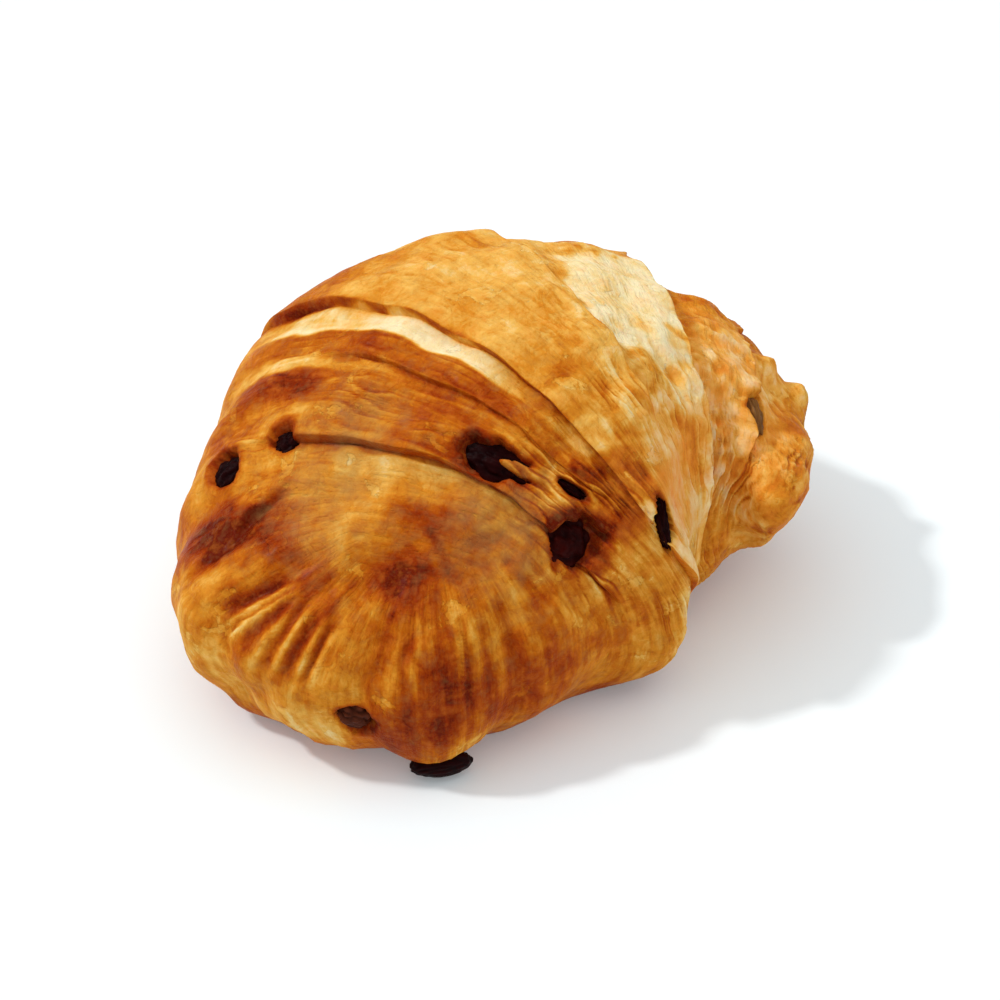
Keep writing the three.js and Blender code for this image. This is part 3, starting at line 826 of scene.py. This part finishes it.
class Shader:
    """A material's node tree, with short calls for the nodes used here."""

    def __init__(self, name):
        self.material = bpy.data.materials.new(name)
        self.material.use_nodes = True
        self.tree = self.material.node_tree
        self.tree.nodes.clear()
        self.output = self.tree.nodes.new("ShaderNodeOutputMaterial")

    def set(self, socket, value):
        if isinstance(value, bpy.types.NodeSocket):
            self.tree.links.new(value, socket)
        else:
            socket.default_value = value

    def node(self, kind, settings=None, **inputs):
        made = self.tree.nodes.new("ShaderNode" + kind)
        for key, value in (settings or {}).items():
            setattr(made, key, value)
        for key, value in inputs.items():
            self.set(made.inputs[key.replace("_", " ")], value)
        return made

    def share(self, name):
        return self.node("Attribute", {"attribute_name": name}).outputs["Fac"]

    def math(self, operation, a, b=0.0, clamp=False):
        made = self.node("Math", {"operation": operation, "use_clamp": clamp})
        self.set(made.inputs[0], a)
        self.set(made.inputs[1], b)
        return made.outputs[0]

    def mix(self, share, a, b):
        made = self.node("Mix", {"data_type": "FLOAT"})
        self.set(made.inputs[0], share)
        self.set(made.inputs[2], a)
        self.set(made.inputs[3], b)
        return made.outputs[0]

    def mix_colour(self, share, a, b):
        made = self.node("Mix", {"data_type": "RGBA"})
        self.set(made.inputs[0], share)
        self.set(made.inputs[6], a)
        self.set(made.inputs[7], b)
        return made.outputs[2]

    def ramp(self, share, stops):
        made = self.node("ValToRGB", Fac=share)
        elements = made.color_ramp.elements
        while len(elements) < len(stops):
            elements.new(0.5)
        for element, (place, colour) in zip(elements, stops):
            element.position = place
            element.color = colour
        return made.outputs["Color"]

    def noise(self, place, scale, detail, roughness, distortion=0.0):
        made = self.node("TexNoise", Vector=place, Scale=scale, Detail=detail, Roughness=roughness)
        made.inputs["Distortion"].default_value = distortion
        return made.outputs[0]

    def streaks(self, places, width, length, detail=3.0):
        """Noise drawn out along the grain, from 0 to 1. width and length in mm."""
        place = self.node("CombineXYZ")
        for socket, value, size in zip(place.inputs, places, (width, length, length)):
            self.set(socket, self.math("DIVIDE", value, size))
        return self.noise(place.outputs[0], 1.0, detail, 0.6)

    def map_range(self, value, before, after):
        made = self.node("MapRange", Value=value, From_Min=before[0], From_Max=before[1])
        made.inputs["To Min"].default_value = after[0]
        made.inputs["To Max"].default_value = after[1]
        return made.outputs[0]

    def add(self, level, pattern, share):
        """The level with this share of a pattern added."""
        return self.math("ADD", level, self.math("MULTIPLY", pattern, share))

    def centred(self, pattern):
        return self.math("SUBTRACT", pattern, 0.5)

    def bump(self, height, distance, normal=None):
        made = self.node("Bump", Height=height, Distance=distance, Strength=1.0)
        if normal is not None:
            self.set(made.inputs["Normal"], normal)
        return made.outputs[0]


def srgb(red, green, blue):
    """A colour given as 0 to 255 on screen, as the linear colour that a shader takes."""

    def linear(value):
        value /= 255
        return value / 12.92 if value <= 0.04045 else ((value + 0.055) / 1.055) ** 2.4

    return linear(red), linear(green), linear(blue), 1


def crust_patterns(s):
    """The crust's patterns, from 0 to 1: streaks along the grain, mottling, specks, veins and flakes."""
    wrap = s.share("wrap_across"), s.share("wrap_level"), s.share("wrap_aside")
    spread = s.share("fan_across"), s.share("fan_along"), 0.5
    fan = s.share("fan_share")
    place = s.node("TexCoord").outputs["Object"]
    veins = s.math("ABSOLUTE", s.centred(s.noise(place, 190.0, 3.0, 0.55, 1.2)))
    flake = s.noise(place, 130.0, 5.0, 0.6, 0.3)
    return {
        "fine": s.mix(fan, s.streaks(wrap, 0.8, 8), s.streaks(spread, 1.3, 6)),
        "broad": s.mix(fan, s.streaks(wrap, 2.6, 16, 2), s.streaks(spread, 3.5, 12, 2)),
        "mottle": s.noise(place, 300.0, 5.0, 0.62, 0.6),
        "specks": s.noise(place, 1300.0, 3.0, 0.7),
        "veins": s.map_range(veins, (0.0, 0.045), (1.0, 0.0)),
        "flake": s.map_range(flake, (0.62, 0.632), (0.0, 1.0)),
        "hue": s.noise(place, 330.0, 3.0, 0.65),
    }


def crust_level(s, patterns):
    """How baked the crust is, with the patterns' share, and with the painted shade that the bake share
    and the raisins' openings bring.
    """
    streak = s.share("streak")
    level = s.add(s.share("bake"), s.centred(patterns["fine"]), s.math("MULTIPLY", streak, FINE_SHARE))
    level = s.add(level, s.centred(patterns["broad"]), s.math("MULTIPLY", streak, BROAD_SHARE))
    level = s.add(level, s.centred(patterns["mottle"]), MOTTLE_SHARE)
    level = s.add(level, s.centred(patterns["specks"]), SPECKS_SHARE)
    level = s.add(level, patterns["veins"], VEINS_SHARE)
    # Painted shade round the raisins' openings
    level = s.add(level, s.share("pocket_shade"), RAISIN_SHADE_SHARE)
    return s.math("SUBTRACT", level, s.math("MULTIPLY", patterns["flake"], FLAKE_SHARE), clamp=True)


def crust_colour(s, level, hue):
    """The level's colour, shifted to orange or tan."""
    colour = s.ramp(level, [(place, srgb(*shade)) for place, shade in CRUST_COLOURS])
    shift = s.add(s.share("tint"), s.centred(hue), HUE_SHARE)
    colour = s.mix_colour(s.math("MULTIPLY", shift, ORANGE_MIX, clamp=True), colour, srgb(*ORANGE))
    return s.mix_colour(s.math("MULTIPLY", shift, TAN_MIX, clamp=True), colour, srgb(*TAN))


def crust_normal(s, patterns):
    """The patterns' relief. Flakes are sunk, so that their edges show."""
    normal = None
    for name, distance in RELIEF.items():
        pattern = s.math("SUBTRACT", 1.0, patterns[name]) if name == "flake" else patterns[name]
        normal = s.bump(pattern, distance, normal)
    return normal


def crust_material():
    """Flaky baked dough, a little translucent, and slightly glazed where it is dark."""
    s = Shader("baked_crust")
    patterns = crust_patterns(s)
    level = crust_level(s, patterns)
    surface = s.node(
        "BsdfPrincipled",
        Base_Color=crust_colour(s, level, patterns["hue"]),
        Roughness=s.map_range(level, (0.15, 0.8), (0.6, 0.36)),
        Normal=crust_normal(s, patterns),
        Coat_Weight=s.map_range(level, (0.4, 0.8), (0.0, 0.02)),
        Coat_Roughness=0.22,
        Specular_IOR_Level=0.02,
        Subsurface_Weight=0.1,
        Subsurface_Radius=(1.0, 0.5, 0.2),
        Subsurface_Scale=0.001,
    )
    s.set(s.output.inputs[0], surface.outputs[0])
    return s.material


def raisin_material(name):
    """Wrinkled dark skin, lighter on its folds as painted light and darker in their bottoms as painted
    shade; dough juices make two of the raisins browner.
    """
    s = Shader("raisin_skin_" + name)
    bloom = s.noise(s.node("TexCoord").outputs["Object"], 900.0, 4.0, 0.6)
    bloomed = s.math("MULTIPLY", bloom, 0.4)
    level = s.math("ADD", s.math("MULTIPLY", s.share("fold"), 0.6), bloomed, clamp=True)
    dark, light = RAISIN_TINTS.get(name, RAISIN_TINTS["most"])
    surface = s.node(
        "BsdfPrincipled",
        Base_Color=s.mix_colour(level, srgb(*dark), srgb(*light)),
        Roughness=s.map_range(bloom, (0.3, 0.7), (0.3, 0.55)),
        Normal=s.bump(bloom, 0.0002),
        Specular_IOR_Level=0.04,
    )
    s.set(s.output.inputs[0], surface.outputs[0])
    return s.material


def make_floor():
    """The plain table that the pastry rests on."""
    points = FLOOR_HALF * np.array([(-1, -1, 0), (1, -1, 0), (1, 1, 0), (-1, 1, 0)], float)
    floor = make_mesh("floor", points, [(0, 1, 2, 3)])
    s = Shader("white_table")
    surface = s.node("BsdfPrincipled", Base_Color=FLOOR_COLOUR, Roughness=0.7, Specular_IOR_Level=0.1)
    s.set(s.output.inputs[0], surface.outputs[0])
    floor.data.materials.append(s.material)


def direction(azimuth, elevation):
    """A unit vector from degrees of azimuth, from +X towards +Y, and of elevation."""
    azimuth, elevation = math.radians(azimuth), math.radians(elevation)
    flat = math.cos(elevation)
    return Vector((math.cos(azimuth) * flat, math.sin(azimuth) * flat, math.sin(elevation)))


def make_sun(name, azimuth, elevation, strength, shadow=True):
    light = bpy.data.lights.new(name, "SUN")
    light.energy = strength
    light.angle = math.radians(KEY_SOFTNESS)
    light.use_shadow = shadow
    made = bpy.data.objects.new(name, light)
    made.rotation_euler = direction(azimuth, elevation).to_track_quat("Z", "Y").to_euler()
    bpy.context.scene.collection.objects.link(made)


def make_light():
    world = bpy.data.worlds.new("studio")
    world.use_nodes = True
    world.node_tree.nodes["Background"].inputs[0].default_value = AMBIENT_COLOUR
    world.node_tree.nodes["Background"].inputs[1].default_value = AMBIENT
    bpy.context.scene.world = world
    world.cycles_visibility.glossy = False
    make_sun("key", KEY_AZIMUTH, KEY_ELEVATION, KEY_STRENGTH)
    make_sun("fill", FILL_AZIMUTH, FILL_ELEVATION, FILL_STRENGTH, shadow=False)
    make_sun("front", FRONT_AZIMUTH, FRONT_ELEVATION, FRONT_STRENGTH, shadow=False)
    box = bpy.data.lights.new("softbox", "AREA")
    box.size = SOFTBOX_SIDE
    box.energy = SOFTBOX_POWER
    above = bpy.data.objects.new("softbox", box)
    above.location = (0, 0, SOFTBOX_HEIGHT)
    above.visible_glossy = False
    bpy.context.scene.collection.objects.link(above)


def make_camera():
    back = direction(CAMERA_AZIMUTH - 90, CAMERA_ELEVATION)
    camera = bpy.data.cameras.new("camera")
    camera.sensor_width = SENSOR_MM
    camera.lens = FOCAL_PIXELS / IMAGE_PIXELS * SENSOR_MM
    made = bpy.data.objects.new("camera", camera)
    made.location = (Vector(CAMERA_TARGET) + back * CAMERA_DISTANCE) * MM
    made.rotation_euler = back.to_track_quat("Z", "Y").to_euler()
    bpy.context.scene.collection.objects.link(made)
    bpy.context.scene.camera = made


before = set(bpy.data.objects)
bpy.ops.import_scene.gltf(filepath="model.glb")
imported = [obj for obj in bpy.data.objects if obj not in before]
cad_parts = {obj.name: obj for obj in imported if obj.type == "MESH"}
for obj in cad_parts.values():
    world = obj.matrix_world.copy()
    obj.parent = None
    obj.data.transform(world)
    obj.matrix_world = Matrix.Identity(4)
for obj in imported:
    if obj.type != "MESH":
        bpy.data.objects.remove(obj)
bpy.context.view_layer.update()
bpy.context.scene.view_settings.view_transform = "Standard"
make_camera()
make_light()
make_floor()
make_dough()
for index, raisin_name in enumerate(RAISINS):
    make_raisin(raisin_name, index)
